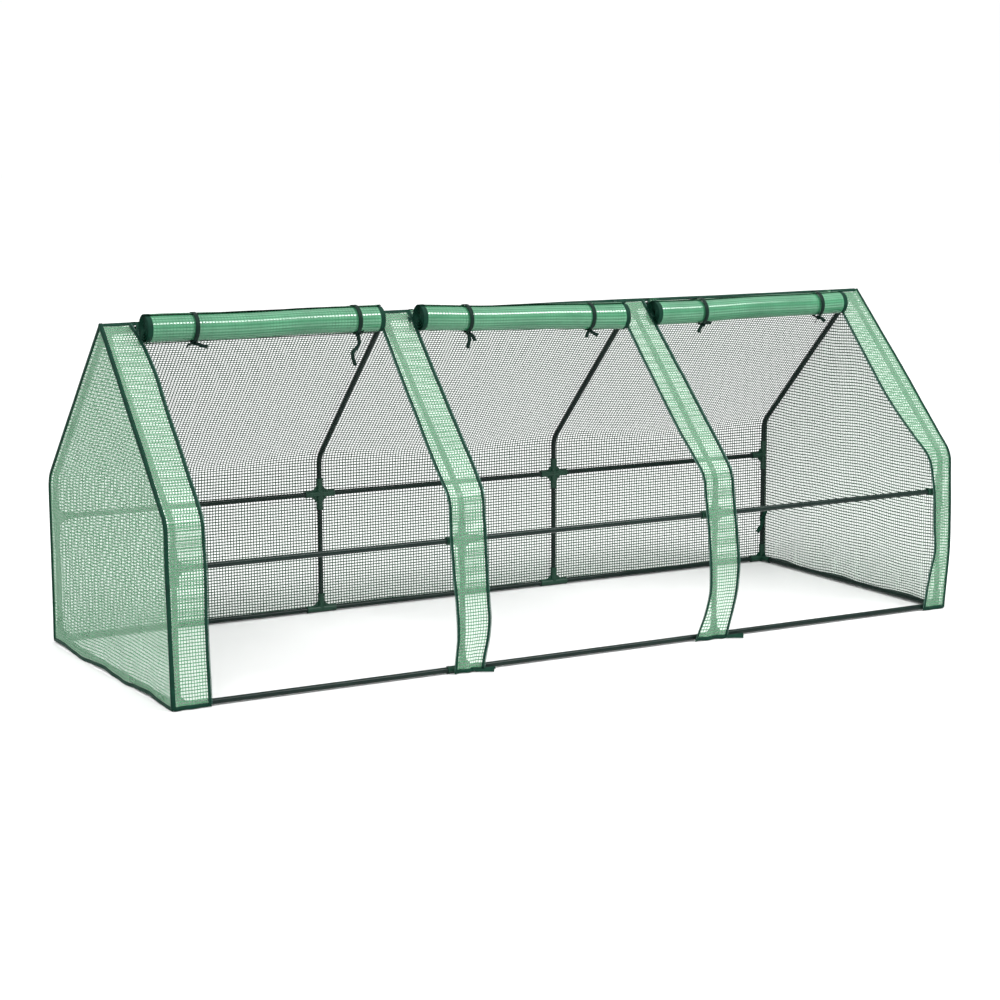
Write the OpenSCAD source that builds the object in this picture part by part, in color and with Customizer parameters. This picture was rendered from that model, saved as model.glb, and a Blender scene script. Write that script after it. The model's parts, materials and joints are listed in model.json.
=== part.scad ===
// Mini greenhouse with a push-fit tube frame, a reinforced cover and three roll-up doors.
// Units are millimetres. The length runs along X, the doors face -Y and the ground is z = 0.

/* [Frame] */
// Distance between neighbouring hoops
hoop_pitch = 800; // [700:10:900]
// Distance between the front and rear posts, centre to centre
frame_depth = 876; // [700:10:1000]
// Height of the bottom rails' centre line
base_z = 10.5; // [10.5:0.5:14]
// Height of the mid rails' centre line
mid_z = 354; // [280:1:380]
// Height where the posts' and the roof slopes' centre lines meet
eave_z = 462; // [450:1:520]
// Height of the ridge rails' centre line
ridge_z = 903; // [850:1:960]

/* [Tubes] */
// Outside diameter of every tube
tube_d = 15; // [13:0.5:16]
// Wall of every tube
tube_wall = 0.8; // [0.6:0.1:1.5]
// Centre line radius of the bend in each rafter
bend_r = 60; // [50:5:90]

/* [Connectors] */
// Length of each socket from the connector's centre
socket_reach = 46; // [38:1:55]
// Depth left solid at the connector's centre
socket_stop = 12; // [11:0.5:14]
// Wall of each socket
socket_wall = 2; // [1.5:0.1:2.4]
// Radial play between a tube and its socket
socket_play = 0.05; // [0.02:0.01:0.1]
// Thickness of the webs between sockets
web_t = 3; // [2:0.5:5]

/* [Cover] */
// Space between the frame's centre lines and the cover's inner face
cover_gap = 10.6; // [10.6:0.1:12]
// Thickness of the cover
cover_t = 1.2; // [0.8:0.1:1.5]
// Left edge of each front strip, from its hoop
strip_left = [-10.4, -40, -52, -60];
// Right edge of each front strip, from its hoop
strip_right = [82, 66, 52, 10.4];
// Width of the binding along the seams
binding_w = 10; // [6:1:16]
// Width of each zip tape
zip_w = 8; // [5:1:12]

/* [Roll-up doors] */
// Radius of a rolled-up door
roll_r = 35; // [28:1:38]
// Gap between a roll and the strips beside it
roll_side_gap = 5; // [4:1:12]
// Forward distance from the ridge to the parked roll's centre
park_y = 58; // [55:1:80]
// Height of the parked roll's centre
park_z = 890; // [880:1:894]
// Places of the ribbon ties along the ridge, two on each door
tie_x = [-980, -520, -180, 220, 600, 1020];
// Width of the ribbon ties
tie_w = 12; // [8:1:16]

/* [Hidden] */
$fn = 64;
eps = 0.01;
half_depth = frame_depth / 2;
hoop_x = [for (i = [0:3]) (i - 1.5) * hoop_pitch];
roof_angle = atan((ridge_z - eave_z) / half_depth);
bend_angle = 90 - roof_angle;
bend_run = bend_r * tan(bend_angle / 2);
bend_swell = 0.2;
slope_len = norm([half_depth, ridge_z - eave_z]);
rail_len = hoop_pitch - 2 * socket_stop;
socket_d = tube_d + 2 * socket_play + 2 * socket_wall;
collar_d = socket_d + 1.2;
skin = cover_gap + cover_t;
end_x = hoop_x[3] + cover_gap;
trim_gap = 0.25;
trim_t = 1;
apex_z = ridge_z + skin / cos(roof_angle);
skin_bottom = 2;
path_y = half_depth + collar_d / 2 + roll_r + 2.3;
slope_travel = (path_y - park_y) / cos(roof_angle);
roll_core_r = roll_r * 0.62;
wall_travel = park_z - slope_travel * sin(roof_angle) - roll_r - 2.5;
slider_off = skin + trim_gap + trim_t + 4.2;
slider_y = half_depth + slider_off - (path_y - park_y);
slider_z = ridge_z + slider_off / cos(roof_angle) - slider_y * tan(roof_angle);
// turn about the ridge's vertical plane that puts a piece on the front or the rear
front = 0;
rear = 180;
// turns that point a socket, drawn along +Z, each way
up = [0, 0, 0];
down = [180, 0, 0];
right = [0, 90, 0];
left = [0, -90, 0];
inward = [-90, 0, 0];
roof_front = [90 + roof_angle, 0, 0];
roof_rear = [-90 - roof_angle, 0, 0];

steel = [0.09, 0.15, 0.13];
fitting = [0.1, 0.26, 0.18];
film = [0.62, 0.84, 0.7];
trim = [0.05, 0.28, 0.2];

// ---- tubes ----

module tube(len) {
  difference() {
    cylinder(d = tube_d, h = len);
    translate([0, 0, -1]) cylinder(d = tube_d - 2 * tube_wall, h = len + 2);
  }
}

module rail(bay, y, z) {
  color(steel)
    translate([hoop_x[bay - 1] + socket_stop, y, z]) rotate([0, 90, 0]) tube(rail_len);
}

module floor_bar(side) {
  color(steel)
    translate([side * hoop_x[3], socket_stop - half_depth, base_z]) rotate([-90, 0, 0])
      tube(frame_depth - 2 * socket_stop);
}

module floor_bars() {
  floor_bar(-1);
  floor_bar(1);
}

module post(hoop, side) {
  color(steel)
    translate([hoop_x[hoop - 1], 0, 0]) rotate([0, 0, side])
      translate([0, -half_depth, base_z + socket_stop]) tube(mid_z - base_z - 2 * socket_stop);
}

// places its children at the centre of the front bend, turned so that an extrusion
// starts at the wall and ends at the roof slope
module at_bend() {
  translate([0, bend_r - half_depth, eave_z - bend_run]) rotate([90, 0, -90]) children();
}

// places its children on the front slope: +Z runs up the slope, -Y faces out
module on_slope() {
  translate([0, -half_depth, eave_z]) rotate([roof_angle - 90, 0, 0]) children();
}

// foot, bend and slope in one bent tube
module rafter(hoop, side) {
  start = mid_z + socket_stop;
  color(steel)
    translate([hoop_x[hoop - 1], 0, 0]) rotate([0, 0, side]) {
      translate([0, -half_depth, start]) tube(eave_z - bend_run - start);
      at_bend() rotate_extrude(angle = bend_angle) translate([bend_r, 0])
        difference() {
          circle(d = tube_d + bend_swell);
          circle(d = tube_d - 2 * tube_wall - bend_swell);
        }
      on_slope() translate([0, 0, bend_run]) tube(slope_len - bend_run - socket_stop);
    }
}

// ---- connectors ----

// solid sockets along the listed turns, webbed where the webs say, all bored for tubes
module connector(turns, webs) {
  color(fitting)
    difference() {
      union() {
        sphere(d = socket_d);
        for (t = turns) rotate(t) socket();
        for (w = webs) rotate(w) web();
      }
      for (t = turns)
        rotate(t) translate([0, 0, socket_stop])
          cylinder(d = tube_d + 2 * socket_play, h = socket_reach);
    }
}

module socket() {
  cylinder(d = socket_d, h = socket_reach);
  translate([0, 0, socket_reach - 5]) cylinder(d = collar_d, h = 5);
}

// three-cornered web between the sockets along +X and +Z
module web() {
  leg = socket_reach * 0.72;
  rotate([90, 0, 0]) translate([0, 0, -web_t / 2]) linear_extrude(web_t)
    polygon([[0, 0], [leg, 0], [0, leg]]);
}

module corner_connector() {
  connector([up, right, inward], [[0, 0, 0], [0, 0, 90]]);
  color(fitting) corner_foot();
}

// flat pad that stands on the ground, bored with the sockets above it
module corner_foot() {
  difference() {
    translate([0, 0, -base_z]) cylinder(d = collar_d, h = 3);
    rotate([0, 90, 0]) translate([0, 0, socket_stop])
      cylinder(d = tube_d + 2 * socket_play, h = socket_reach);
    rotate([-90, 0, 0]) translate([0, 0, socket_stop])
      cylinder(d = tube_d + 2 * socket_play, h = socket_reach);
  }
}

module corner_connectors() {
  translate([hoop_x[0], -half_depth, base_z]) corner_connector();
  translate([hoop_x[3], -half_depth, base_z]) rotate([0, 0, 90]) corner_connector();
  translate([hoop_x[3], half_depth, base_z]) rotate([0, 0, 180]) corner_connector();
  translate([hoop_x[0], half_depth, base_z]) rotate([0, 0, 270]) corner_connector();
}

module tee_connector() {
  connector([up, left, right], [[0, 0, 0], [0, 0, 180]]);
}

module tee_connectors() {
  for (side = [front, rear]) {
    for (x = [hoop_x[1], hoop_x[2]])
      rotate([0, 0, side]) translate([x, -half_depth, base_z]) tee_connector();
    for (end = [0, 3])
      translate([hoop_x[end], half_depth * (side == front ? -1 : 1), mid_z])
        rotate([0, end == 0 ? 90 : -90, 0]) tee_connector();
  }
}

module cross_connectors() {
  for (side = [front, rear], x = [hoop_x[1], hoop_x[2]])
    rotate([0, 0, side]) translate([x, -half_depth, mid_z])
      connector([up, down, left, right], [for (a = [0:90:270]) [0, a, 0]]);
}

module ridge_end_connectors() {
  for (turn = [0, 180])
    rotate([0, 0, turn]) translate([hoop_x[0], 0, ridge_z])
      connector([right, roof_front, roof_rear], [roof_front, roof_rear]);
}

module ridge_cross_connectors() {
  for (x = [hoop_x[1], hoop_x[2]])
    translate([x, 0, ridge_z])
      connector([left, right, roof_front, roof_rear], [roof_front, roof_rear]);
}

// ---- cover ----

// front edge of the cover at one distance out from the frame, in the YZ plane
function cover_edge(out, foot, head) = concat(
  [[-half_depth - out, foot]],
  [for (a = [0:bend_angle / 10:bend_angle + eps])
    [bend_r - half_depth - (bend_r + out) * cos(a), eave_z - bend_run + (bend_r + out) * sin(a)]],
  [[head * cos(roof_angle) - half_depth - out * sin(roof_angle),
    eave_z + head * sin(roof_angle) + out * cos(roof_angle)]]);

function backwards(list) = [for (i = [len(list) - 1:-1:0]) list[i]];

// a band over the front of the frame, from the wall's foot up to head along the slope
module front_band(x0, x1, inner, outer, foot, head) {
  translate([x0, 0, 0]) end_sheet(x1 - x0)
    polygon(concat(cover_edge(outer, foot, head), backwards(cover_edge(inner, foot, head))));
}

module front_strip(n) {
  color(film)
    front_band(hoop_x[n - 1] + strip_left[n - 1], hoop_x[n - 1] + strip_right[n - 1],
      cover_gap, skin, skin_bottom, slope_len + cover_gap * tan(roof_angle) - 0.3);
}

module rear_roof_panel() {
  top = slope_len + cover_gap * tan(roof_angle) - 0.3;
  color(film)
    rotate([0, 0, rear]) on_slope()
      translate([0.3 - end_x, -skin, bend_run + 0.1])
        cube([2 * end_x - 0.6, cover_t, top - bend_run - 0.1]);
}

module rear_wall_panel() {
  color(film)
    rotate([0, 0, rear])
      front_band(0.3 - end_x, end_x - 0.3, cover_gap, skin, skin_bottom, bend_run);
}

// gable outline of the cover, in the YZ plane
module gable(grow) {
  hull() {
    translate([-half_depth - skin - grow, skin_bottom - grow])
      square([frame_depth + 2 * skin + 2 * grow, 10]);
    for (s = [-1, 1])
      translate([s * (half_depth - bend_r), eave_z - bend_run])
        circle(r = bend_r + skin + grow, $fn = 48);
    translate([0, apex_z + grow / cos(roof_angle)]) circle(r = eps, $fn = 6);
  }
}

module end_sheet(t) {
  rotate([90, 0, 90]) linear_extrude(t) children();
}

module left_end_panel() {
  color(film) translate([-end_x - cover_t, 0, 0]) end_sheet(cover_t) gable(0);
}

module right_end_panel() {
  color(film) translate([end_x, 0, 0]) end_sheet(cover_t) gable(0);
}

module end_binding() {
  end_sheet(trim_t) difference() {
    gable(0);
    gable(-binding_w);
  }
}

module ridge_binding() {
  low = skin + trim_gap;
  high = low + trim_t;
  rise = ridge_z - binding_w * 1.4 * tan(roof_angle);
  translate([-end_x, 0, 0]) end_sheet(2 * end_x)
    polygon([
      [-binding_w * 1.4, rise + low / cos(roof_angle)],
      [0, ridge_z + low / cos(roof_angle)],
      [binding_w * 1.4, rise + low / cos(roof_angle)],
      [binding_w * 1.4, rise + high / cos(roof_angle)],
      [0, ridge_z + high / cos(roof_angle)],
      [-binding_w * 1.4, rise + high / cos(roof_angle)]]);
}

module seam_binding() {
  out_y = half_depth + skin + trim_gap;
  color(trim) {
    ridge_binding();
    translate([end_x + cover_t + trim_gap, 0, 0]) end_binding();
    translate([-end_x - cover_t - trim_gap - trim_t, 0, 0]) end_binding();
    translate([-end_x, out_y, skin_bottom]) cube([2 * end_x, trim_t, binding_w]);
    for (n = [0:3])
      translate([hoop_x[n] + strip_left[n], -out_y - trim_t, skin_bottom])
        cube([strip_right[n] - strip_left[n], trim_t, binding_w]);
  }
}

// left and right edges of the doorway in bay n
function doorway(n) = [hoop_x[n - 1] + strip_right[n - 1], hoop_x[n] + strip_left[n]];

module zip_tapes() {
  color(trim)
    for (n = [1:3], side = [0, 1]) {
      x = doorway(n)[side] - zip_w * (1 - side);
      front_band(x, x + zip_w, skin + trim_gap, skin + trim_gap + trim_t,
        skin_bottom + binding_w + 1, slope_len - 10);
    }
}

// ribbon round a bottom rail, with its tail on the ground under the strip
module foot_tie() {
  difference() {
    rotate([0, 90, 0]) cylinder(r = tube_d / 2 + 1.3, h = 10, center = true);
    rotate([0, 90, 0]) cylinder(r = tube_d / 2 + 0.3, h = 12, center = true);
  }
  translate([-5, -9.5, 0.4 - base_z]) cube([10, 4, 4.6]);
  translate([-5, -38, 0.4 - base_z]) cube([10, 31, 1]);
}

// ribbon round a post, with a hanging tail
module post_tie() {
  difference() {
    cylinder(r = tube_d / 2 + 1.3, h = 10);
    translate([0, 0, -1]) cylinder(r = tube_d / 2 + 0.3, h = 12);
  }
  translate([-12, -14, -50]) cube([8, 1, 55]);
  translate([-10, -14, 0]) cube([5, 8, 5]);
}

module base_ties() {
  color(trim) {
    for (n = [1, 2]) translate([hoop_x[n] + 68, -half_depth, base_z]) foot_tie();
    translate([hoop_x[3], half_depth, mid_z * 0.4]) post_tie();
  }
}

// ---- roll-up doors ----

module along_roll(n, r) {
  ends = [doorway(n)[0] + roll_side_gap, doorway(n)[1] - roll_side_gap];
  translate([ends[0], -park_y, park_z]) rotate([0, 90, 0]) cylinder(r = r, h = ends[1] - ends[0]);
}

// upper half of the outer turns: the roof part of the door
module door_wrap(n) {
  color(film)
    difference() {
      along_roll(n, roll_r);
      translate([-1, 0, 0]) along_roll(n, roll_core_r + 0.5);
      translate([1, 0, 0]) along_roll(n, roll_core_r + 0.5);
      translate([-2 * hoop_pitch, -park_y - 2 * roll_r, park_z + 0.25 - 2 * roll_r])
        cube([4 * hoop_pitch, 4 * roll_r, 2 * roll_r]);
    }
}

// core and lower half of the outer turns: the wall part of the door
module door_roll(n) {
  color(film) {
    difference() {
      along_roll(n, roll_r);
      translate([-2 * hoop_pitch, -park_y - 2 * roll_r, park_z - 0.25])
        cube([4 * hoop_pitch, 4 * roll_r, 2 * roll_r]);
    }
    along_roll(n, roll_core_r);
  }
}

module zip_slider() {
  rotate([-bend_angle / 2, 0, 0]) {
    cube([7, 3.6, 10], center = true);
    translate([-2, -3.2, -12]) cube([4, 1.4, 14]);
    translate([-1.5, -3, -1]) cube([3, 2, 3]);
  }
}

module door_zip_sliders(n) {
  color(trim)
    for (side = [0, 1])
      translate([doorway(n)[side] + zip_w * (side - 0.5), -slider_y, slider_z]) zip_slider();
}

// ribbon round the parked roll, its strap up to the ridge, and the knot with two tails
module door_tie() {
  ring = roll_r + 0.4;
  translate([0, -park_y, park_z]) {
    difference() {
      rotate([0, 90, 0]) cylinder(r = ring + 0.8, h = tie_w, center = true);
      rotate([0, 90, 0]) cylinder(r = ring, h = tie_w + 2, center = true);
    }
    translate([-5, -ring - 6, 2]) cube([10, 6, 9]);
    translate([-9, -ring - 5, -14]) cube([5, 1, 20]);
    translate([3, -ring - 5, -22]) cube([5, 1, 28]);
  }
  translate([-tie_w / 2, 0, 0]) end_sheet(tie_w)
    polygon([[10 - park_y, park_z + ring - 1.4], [-15.5, park_z + ring - 8.6],
      [-15.5, park_z + ring - 7.8], [10 - park_y, park_z + ring - 0.6]]);
}

module door_ties(n) {
  color(trim)
    for (i = [2 * n - 2, 2 * n - 1]) translate([tie_x[i], 0, 0]) door_tie();
}

rail(1, -half_depth, base_z);  // front_bottom_rail_1
rail(2, -half_depth, base_z);  // front_bottom_rail_2
rail(3, -half_depth, base_z);  // front_bottom_rail_3
rail(1, half_depth, base_z);  // rear_bottom_rail_1
rail(2, half_depth, base_z);  // rear_bottom_rail_2
rail(3, half_depth, base_z);  // rear_bottom_rail_3
rail(1, -half_depth, mid_z);  // front_mid_rail_1
rail(2, -half_depth, mid_z);  // front_mid_rail_2
rail(3, -half_depth, mid_z);  // front_mid_rail_3
rail(1, half_depth, mid_z);  // rear_mid_rail_1
rail(2, half_depth, mid_z);  // rear_mid_rail_2
rail(3, half_depth, mid_z);  // rear_mid_rail_3
rail(1, 0, ridge_z);  // ridge_rail_1
rail(2, 0, ridge_z);  // ridge_rail_2
rail(3, 0, ridge_z);  // ridge_rail_3
floor_bars();
post(1, front);  // front_post_1
post(2, front);  // front_post_2
post(3, front);  // front_post_3
post(4, front);  // front_post_4
post(1, rear);  // rear_post_1
post(2, rear);  // rear_post_2
post(3, rear);  // rear_post_3
post(4, rear);  // rear_post_4
rafter(1, front);  // front_rafter_1
rafter(2, front);  // front_rafter_2
rafter(3, front);  // front_rafter_3
rafter(4, front);  // front_rafter_4
rafter(1, rear);  // rear_rafter_1
rafter(2, rear);  // rear_rafter_2
rafter(3, rear);  // rear_rafter_3
rafter(4, rear);  // rear_rafter_4
corner_connectors();
tee_connectors();
cross_connectors();
ridge_end_connectors();
ridge_cross_connectors();
rear_roof_panel();
rear_wall_panel();
left_end_panel();
right_end_panel();
front_strip(1);  // front_strip_1
front_strip(2);  // front_strip_2
front_strip(3);  // front_strip_3
front_strip(4);  // front_strip_4
seam_binding();
zip_tapes();
base_ties();
door_wrap(1);  // door_1_wrap
door_wrap(2);  // door_2_wrap
door_wrap(3);  // door_3_wrap
door_roll(1);  // door_1_roll
door_roll(2);  // door_2_roll
door_roll(3);  // door_3_roll
door_zip_sliders(1);  // door_1_zip_sliders
door_zip_sliders(2);  // door_2_zip_sliders
door_zip_sliders(3);  // door_3_zip_sliders
door_ties(1);  // door_1_ties
door_ties(2);  // door_2_ties
door_ties(3);  // door_3_ties
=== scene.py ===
"""Looks of the mini pop up greenhouse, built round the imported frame.

Everything is in metres in the row frame: +X along the ridge, the doors face -Y, the ground is z = 0.
The cover is a clear film with a laminated grid of flat yarns. Film and yarns are separate pieces on the same
surface, and every surface is a function of place, so that both follow the same sags and wrinkles.
"""

import json
import math

import bpy
import numpy as np
from mathutils import Matrix, Vector


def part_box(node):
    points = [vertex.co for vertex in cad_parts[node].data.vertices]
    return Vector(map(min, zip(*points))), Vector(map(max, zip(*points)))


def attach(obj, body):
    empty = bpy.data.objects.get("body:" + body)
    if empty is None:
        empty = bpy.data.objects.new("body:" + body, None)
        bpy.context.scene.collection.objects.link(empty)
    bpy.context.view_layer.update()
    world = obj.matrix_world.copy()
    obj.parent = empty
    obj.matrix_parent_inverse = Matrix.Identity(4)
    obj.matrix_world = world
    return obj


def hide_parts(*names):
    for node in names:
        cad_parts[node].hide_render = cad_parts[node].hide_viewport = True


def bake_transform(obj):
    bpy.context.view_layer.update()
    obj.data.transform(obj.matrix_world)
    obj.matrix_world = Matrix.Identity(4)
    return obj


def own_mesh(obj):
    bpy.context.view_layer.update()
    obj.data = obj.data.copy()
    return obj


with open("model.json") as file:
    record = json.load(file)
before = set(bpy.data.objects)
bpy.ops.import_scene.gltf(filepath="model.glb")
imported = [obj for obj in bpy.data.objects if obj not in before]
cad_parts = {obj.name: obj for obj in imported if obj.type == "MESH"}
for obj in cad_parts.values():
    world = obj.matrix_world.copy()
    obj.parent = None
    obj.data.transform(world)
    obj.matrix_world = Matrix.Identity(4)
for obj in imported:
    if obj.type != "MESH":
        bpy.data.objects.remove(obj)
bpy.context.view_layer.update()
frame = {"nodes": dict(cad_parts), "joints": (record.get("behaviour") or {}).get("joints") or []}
MM = 0.001

# ---- sizes, from the frame ----


def middle(node):
    low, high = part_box(node)
    return (Vector(low) + Vector(high)) / 2


HOOPS = [middle(f"front_post_{n}").x for n in (1, 2, 3, 4)]
HALF = -middle("front_post_1").y
BASE_Z = middle("front_bottom_rail_1").z
MID_Z = middle("front_mid_rail_1").z
RIDGE_Z = middle("ridge_rail_1").z
TUBE_R = (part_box("ridge_rail_1")[1][2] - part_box("ridge_rail_1")[0][2]) / 2
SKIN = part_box("rear_wall_panel")[1][1] - HALF  # the cover's outer face, from the tubes' centre lines
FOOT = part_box("rear_wall_panel")[0][2]
END_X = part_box("right_end_panel")[1][0]
JOINTS = {j["name"]: j for j in frame["joints"]}


def travel(joint):
    """How far and which way a slide carries its body, as a vector."""
    j = JOINTS[joint]
    return np.array(j["axis"]) * j["range_m"][1]


SLOPE_DIR = np.array(JOINTS["door_1_roof_slide"]["axis"])  # down the front slope
ROOF = math.asin(-SLOPE_DIR[2])
BEND_R = 60 * MM  # centre line of the bend in each rafter
TURN = math.pi / 2 - ROOF
BEND_RUN = BEND_R * math.tan(TURN / 2)
EAVE_Z = RIDGE_Z - HALF * math.tan(ROOF)
WALL = EAVE_Z - BEND_RUN - FOOT
ARC = (BEND_R + SKIN) * TURN
SLOPE = HALF / math.cos(ROOF) - BEND_RUN + SKIN * math.tan(ROOF)
CUT = WALL + ARC + SLOPE  # the cover's length from its foot to the ridge
APEX_Z = RIDGE_Z + SKIN / math.cos(ROOF)
WARP_PITCH = 9.0 * MM
WEFT_PITCH = 8.5 * MM
WARP_W = 2.8 * MM
WEFT_W = 3.2 * MM

# ---- camera, lights and floor ----


CAMERA_PLACE = (-3.201, -5.599, 1.412)
CAMERA_ANGLES = (-29.46, 9.23, -0.18)  # azimuth, elevation and roll, in degrees
CAMERA_LENS = 82.36  # millimetres, on the default 36 mm sensor


def add_camera():
    azimuth, elevation, roll = (math.radians(a) for a in CAMERA_ANGLES)
    back = Vector((math.sin(azimuth) * math.cos(elevation), -math.cos(azimuth) * math.cos(elevation),
                   math.sin(elevation)))
    level = Vector((math.cos(azimuth), math.sin(azimuth), 0))
    rise = back.cross(level)
    right = math.cos(roll) * level + math.sin(roll) * rise
    up = math.cos(roll) * rise - math.sin(roll) * level
    data = bpy.data.cameras.new("camera")
    data.lens = CAMERA_LENS
    camera = bpy.data.objects.new("camera", data)
    bpy.context.scene.collection.objects.link(camera)
    turned = Matrix((right, up, back)).transposed().to_4x4()
    camera.matrix_world = Matrix.Translation(CAMERA_PLACE) @ turned
    bpy.context.scene.camera = camera


def add_light(name, place, width, height, power):
    data = bpy.data.lights.new(name, "AREA")
    data.energy = power
    data.shape = "RECTANGLE"
    data.size = width
    data.size_y = height
    light = bpy.data.objects.new(name, data)
    bpy.context.scene.collection.objects.link(light)
    light.location = place
    aim = Vector((0, 0, 0.4)) - Vector(place)
    light.rotation_euler = aim.to_track_quat("-Z", "Y").to_euler()


# brightness of the sky, as (sine of the angle over the horizon, grey) pairs, and what they are multiplied by
SKY = ((0.1, 0.5), (0.2, 0.3), (0.5, 0.3), (0.75, 0.75), (1.0, 0.95))
SKY_STRENGTH = 2.02
FLOOR_REACH = 60  # half the side of the floor


def add_studio():
    """A white horizon with a dimmer band above it, a bright sky overhead, two soft lights and a pale floor."""
    bpy.context.scene.view_settings.view_transform = "Standard"
    world = bpy.data.worlds.new("studio")
    bpy.context.scene.world = world
    world.use_nodes = True
    nodes, links = world.node_tree.nodes, world.node_tree.links
    height = nodes.new("ShaderNodeSeparateXYZ")
    links.new(nodes.new("ShaderNodeTexCoord").outputs["Generated"], height.inputs["Vector"])
    sky = ramp(nodes, links, height.outputs["Z"], [(z, (v, v, v)) for z, v in SKY])
    links.new(sky, nodes["Background"].inputs["Color"])
    nodes["Background"].inputs["Strength"].default_value = SKY_STRENGTH
    sun = bpy.data.lights.new("key", "SUN")
    sun.energy = 1.5
    sun.angle = math.radians(35)
    key = bpy.data.objects.new("key", sun)
    bpy.context.scene.collection.objects.link(key)
    key.rotation_euler = Vector((2.6, 3.2, -4.4)).to_track_quat("-Z", "Y").to_euler()
    add_light("soft_box", (2.6, -3.9, 4.9), 3.4, 0.9, 230)
    mesh = bpy.data.meshes.new("floor")
    corners = [(-FLOOR_REACH, -FLOOR_REACH, 0), (FLOOR_REACH, -FLOOR_REACH, 0),
               (FLOOR_REACH, FLOOR_REACH, 0), (-FLOOR_REACH, FLOOR_REACH, 0)]
    mesh.from_pydata(corners, [], [(0, 1, 2, 3)])
    floor = bpy.data.objects.new("floor", mesh)
    bpy.context.scene.collection.objects.link(floor)
    mat, shader, _, _ = new_material("floor_paint", (0.8, 0.8, 0.8), 0.9)
    floor.data.materials.append(mat)


# ---- materials ----


def new_material(name, colour, roughness):
    mat = bpy.data.materials.new(name)
    mat.use_nodes = True
    nodes, links = mat.node_tree.nodes, mat.node_tree.links
    shader = nodes["Principled BSDF"]
    shader.inputs["Base Color"].default_value = (*colour, 1)
    shader.inputs["Roughness"].default_value = roughness
    return mat, shader, nodes, links


def place_node(nodes, kind="Object"):
    return nodes.new("ShaderNodeTexCoord").outputs[kind]


def noise(nodes, links, place, scale, detail=3, stretch=(1, 1, 1)):
    """Noise at a scale in repeats per metre, stretched along the axes."""
    mapping = nodes.new("ShaderNodeMapping")
    mapping.inputs["Scale"].default_value = stretch
    links.new(place, mapping.inputs["Vector"])
    tex = nodes.new("ShaderNodeTexNoise")
    tex.inputs["Scale"].default_value = scale
    tex.inputs["Detail"].default_value = detail
    links.new(mapping.outputs["Vector"], tex.inputs["Vector"])
    return tex.outputs["Fac"]


def ramp(nodes, links, value, stops):
    """A colour ramp over a value; stops are (place, colour) pairs."""
    node = nodes.new("ShaderNodeValToRGB")
    elements = node.color_ramp.elements
    while len(elements) < len(stops):
        elements.new(0.5)
    for element, (place, colour) in zip(elements, stops):
        element.position = place
        element.color = (*colour, 1)
    links.new(value, node.inputs["Fac"])
    return node.outputs["Color"]


def bump(nodes, links, height, shader, strength, distance):
    node = nodes.new("ShaderNodeBump")
    node.inputs["Strength"].default_value = strength
    node.inputs["Distance"].default_value = distance
    links.new(height, node.inputs["Height"])
    links.new(node.outputs["Normal"], shader.inputs["Normal"])


def spread_roughness(nodes, links, value, shader, low, high):
    node = nodes.new("ShaderNodeMapRange")
    node.inputs["To Min"].default_value = low
    node.inputs["To Max"].default_value = high
    links.new(value, node.inputs["Value"])
    links.new(node.outputs["Result"], shader.inputs["Roughness"])


def powder_coat():
    """Dark green-black powder coat with a fine orange peel."""
    mat, shader, nodes, links = new_material("powder_coat", (0.01, 0.02, 0.017), 0.36)
    place = place_node(nodes)
    cloud = noise(nodes, links, place, 14, 4)
    links.new(ramp(nodes, links, cloud, [(0.3, (0.004, 0.011, 0.009)), (0.7, (0.007, 0.018, 0.014))]),
              shader.inputs["Base Color"])
    spread_roughness(nodes, links, noise(nodes, links, place, 60), shader, 0.17, 0.28)
    bump(nodes, links, noise(nodes, links, place, 900, 2), shader, 0.25, 0.0004)
    shader.inputs["Specular IOR Level"].default_value = 0.15
    return mat


def moulded_plastic():
    """Green moulded plastic with faint flow marks and a satin face."""
    mat, shader, nodes, links = new_material("moulded_plastic", (0.012, 0.075, 0.045), 0.42)
    place = place_node(nodes)
    flow = noise(nodes, links, place, 22, 5, (1, 1, 0.35))
    links.new(ramp(nodes, links, flow, [(0.3, (0.003, 0.028, 0.015)), (0.7, (0.006, 0.044, 0.024))]),
              shader.inputs["Base Color"])
    spread_roughness(nodes, links, flow, shader, 0.34, 0.52)
    bump(nodes, links, noise(nodes, links, place, 1400, 2), shader, 0.3, 0.0003)
    shader.inputs["Specular IOR Level"].default_value = 0.3
    return mat


def clear_film(name, alpha, light, dark, rough, gloss):
    """Soft greenish polythene that lets part of the light through."""
    mat, shader, nodes, links = new_material(name, light, rough)
    place = place_node(nodes)
    cloud = noise(nodes, links, place, 9, 5, (1, 1, 1.7))
    links.new(ramp(nodes, links, cloud, [(0.32, dark), (0.62, light)]), shader.inputs["Base Color"])
    spread_roughness(nodes, links, noise(nodes, links, place, 30, 4), shader, rough * 0.75, rough * 1.25)
    bump(nodes, links, noise(nodes, links, place, 130, 4), shader, 0.35, 0.0012)
    shader.inputs["Alpha"].default_value = alpha
    shader.inputs["Coat Weight"].default_value = gloss
    shader.inputs["Coat Roughness"].default_value = 0.16
    return mat


def yarn(name, light, dark, rough=0.45):
    """Flat woven yarn, a little paler where it is stretched thin."""
    mat, shader, nodes, links = new_material(name, light, rough)
    place = place_node(nodes)
    links.new(ramp(nodes, links, noise(nodes, links, place, 45, 4), [(0.3, dark), (0.7, light)]),
              shader.inputs["Base Color"])
    bump(nodes, links, noise(nodes, links, place, 1600, 2), shader, 0.4, 0.0003)
    shader.inputs["Specular IOR Level"].default_value = 0.25
    return mat


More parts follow.
